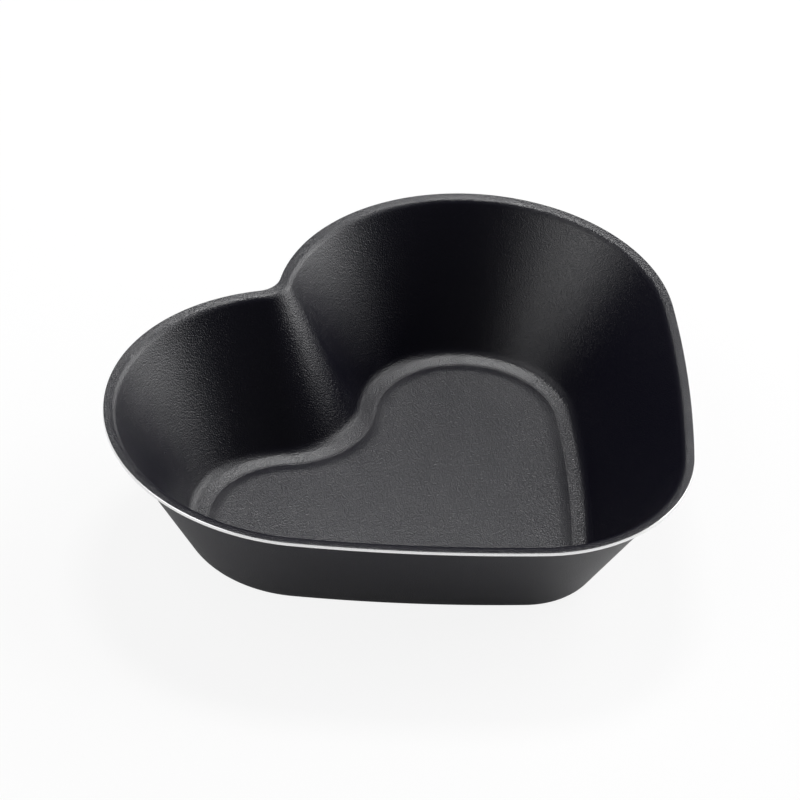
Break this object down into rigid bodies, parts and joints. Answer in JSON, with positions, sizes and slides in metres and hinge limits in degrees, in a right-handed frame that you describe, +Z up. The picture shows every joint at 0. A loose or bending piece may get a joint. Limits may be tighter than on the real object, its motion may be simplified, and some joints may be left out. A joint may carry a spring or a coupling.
{
  "type": "cake pan",
  "caption": "Heart-shaped cake pan pressed from coated sheet, with flared walls, a narrow flat lip, a rounded foot and a floor slightly raised inside a ring at the base.",
  "frame": {"origin": "middle of the rim's box in plan, on the surface that the pan stands on", "axes": "+Z up, +X across the two lobes, the tip of the heart towards -Y and the cleft towards +Y"},
  "size_m": [0.24, 0.2028, 0.0537],
  "materials": {
    "nonstick_coating": "fine-grained satin black non-stick coating on aluminium sheet, bare metal at the cut edge"
  },
  "bodies": {
    "root": {"cake_pan": "nonstick_coating"}
  },
  "joints": []
}
